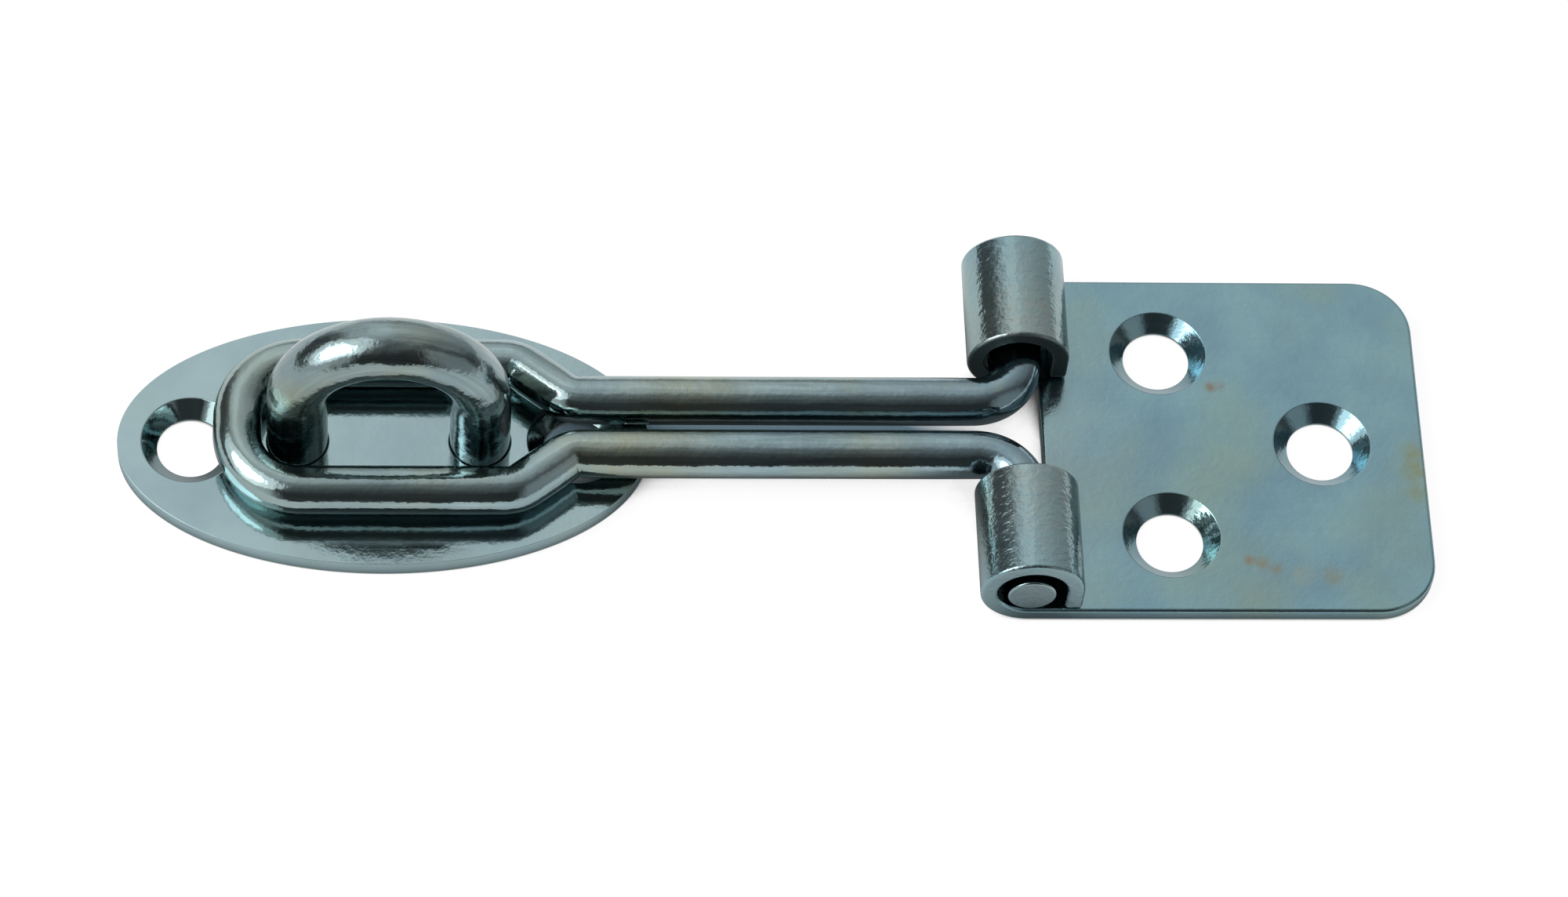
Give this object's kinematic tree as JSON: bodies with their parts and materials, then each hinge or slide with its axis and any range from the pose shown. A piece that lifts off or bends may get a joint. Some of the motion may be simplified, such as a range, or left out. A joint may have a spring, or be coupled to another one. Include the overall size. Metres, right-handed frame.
{
  "type": "wire hasp and staple latch",
  "caption": "Bent-wire hasp hinged in a rolled steel leaf, its loop closing over a round staple riveted to an oval plate, for a door, gate or shed with a padlock.",
  "frame": {"origin": "middle of the hinge plate's back, on the surface that both plates are screwed to", "axes": "+X along the latch from the staple towards the hinge plate's free edge, +Y along the hinge pins, +Z out of the mounting surface"},
  "size_m": [0.1346, 0.04, 0.0225],
  "materials": {
    "hinge_plate": "bright zinc plated sheet, pale blue-grey, semi-gloss",
    "wire_hasp": "bright zinc plated wire, drawn, glossy",
    "staple_plate": "bright zinc plated sheet, pale blue-grey, semi-gloss",
    "staple": "bright zinc plated wire, glossy"
  },
  "bodies": {
    "mounting": {"hinge_plate": "hinge_plate", "staple_plate": "staple_plate", "staple": "staple"},
    "hasp": {"wire_hasp": "wire_hasp"}
  },
  "joints": [
    {"name": "hasp_swing", "type": "hinge", "parent": "mounting", "child": "hasp", "pos_m": [-0.02225, 0, 0.0046], "axis": [0, 1, 0], "range_deg": [0, 180]}
  ]
}
